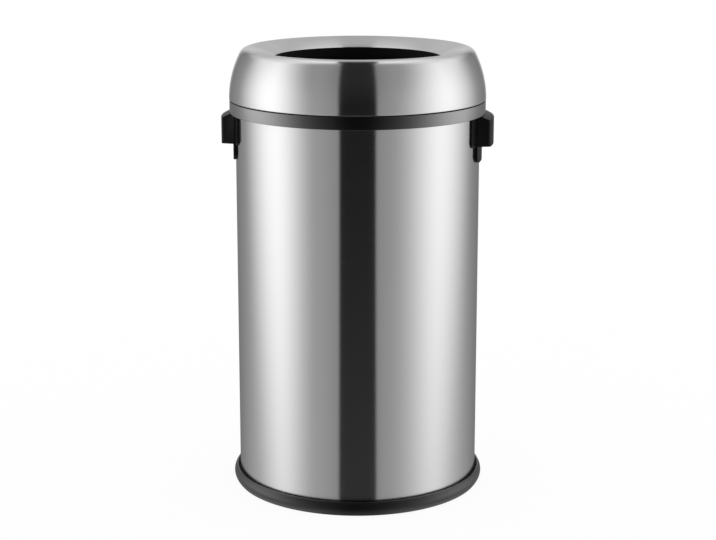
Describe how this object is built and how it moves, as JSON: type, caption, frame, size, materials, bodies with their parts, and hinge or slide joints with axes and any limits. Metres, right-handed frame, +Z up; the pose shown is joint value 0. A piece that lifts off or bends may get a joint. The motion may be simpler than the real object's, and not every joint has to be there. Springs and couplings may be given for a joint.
{
  "type": "open-top trash can",
  "caption": "Round steel trash can with a lift-off domed lid, an open mouth, side cup handles, a lift-out bag ring and a bumper base.",
  "frame": {"origin": "centre of the base at floor level, on the can's axis", "axes": "+Z up, -Y to the front, +X to the can's right-hand handle as seen from the front"},
  "size_m": [0.424, 0.3992, 0.694],
  "materials": {
    "brushed_steel_body": "upright brushed stainless sheet",
    "brushed_steel_lid": "spun and satin-brushed round the axis",
    "mill_steel": "plain pressed sheet",
    "black_moulding": "satin black moulding",
    "black_rubber": "satin black bumper",
    "bright_fastener": "zinc-plated",
    "brass_insert": "hexagonal brass"
  },
  "bodies": {
    "can": {"body_shell": "brushed_steel_body", "bottom_pan": "mill_steel", "base_ring": "black_rubber", "base_screws": "bright_fastener", "collar_ring": "black_moulding", "right_handle": "black_moulding", "left_handle": "black_moulding", "right_handle_inserts": "brass_insert", "left_handle_inserts": "brass_insert", "right_handle_plate": "mill_steel", "left_handle_plate": "mill_steel", "right_handle_screws": "bright_fastener", "left_handle_screws": "bright_fastener"},
    "bag_ring": {"bag_ring": "black_moulding"},
    "lid": {"lid_shell": "brushed_steel_lid", "lid_throat_ring": "black_moulding", "lid_seat_ring": "black_moulding", "lid_seat_screws": "bright_fastener"}
  },
  "joints": [
    {"name": "bag_ring_lift", "type": "slide", "parent": "can", "child": "bag_ring", "axis": [0, 0, 1], "range_m": [0, 0.15]},
    {"name": "lid_lift", "type": "slide", "parent": "bag_ring", "child": "lid", "axis": [0, 0, 1], "range_m": [0, 0.25]}
  ]
}
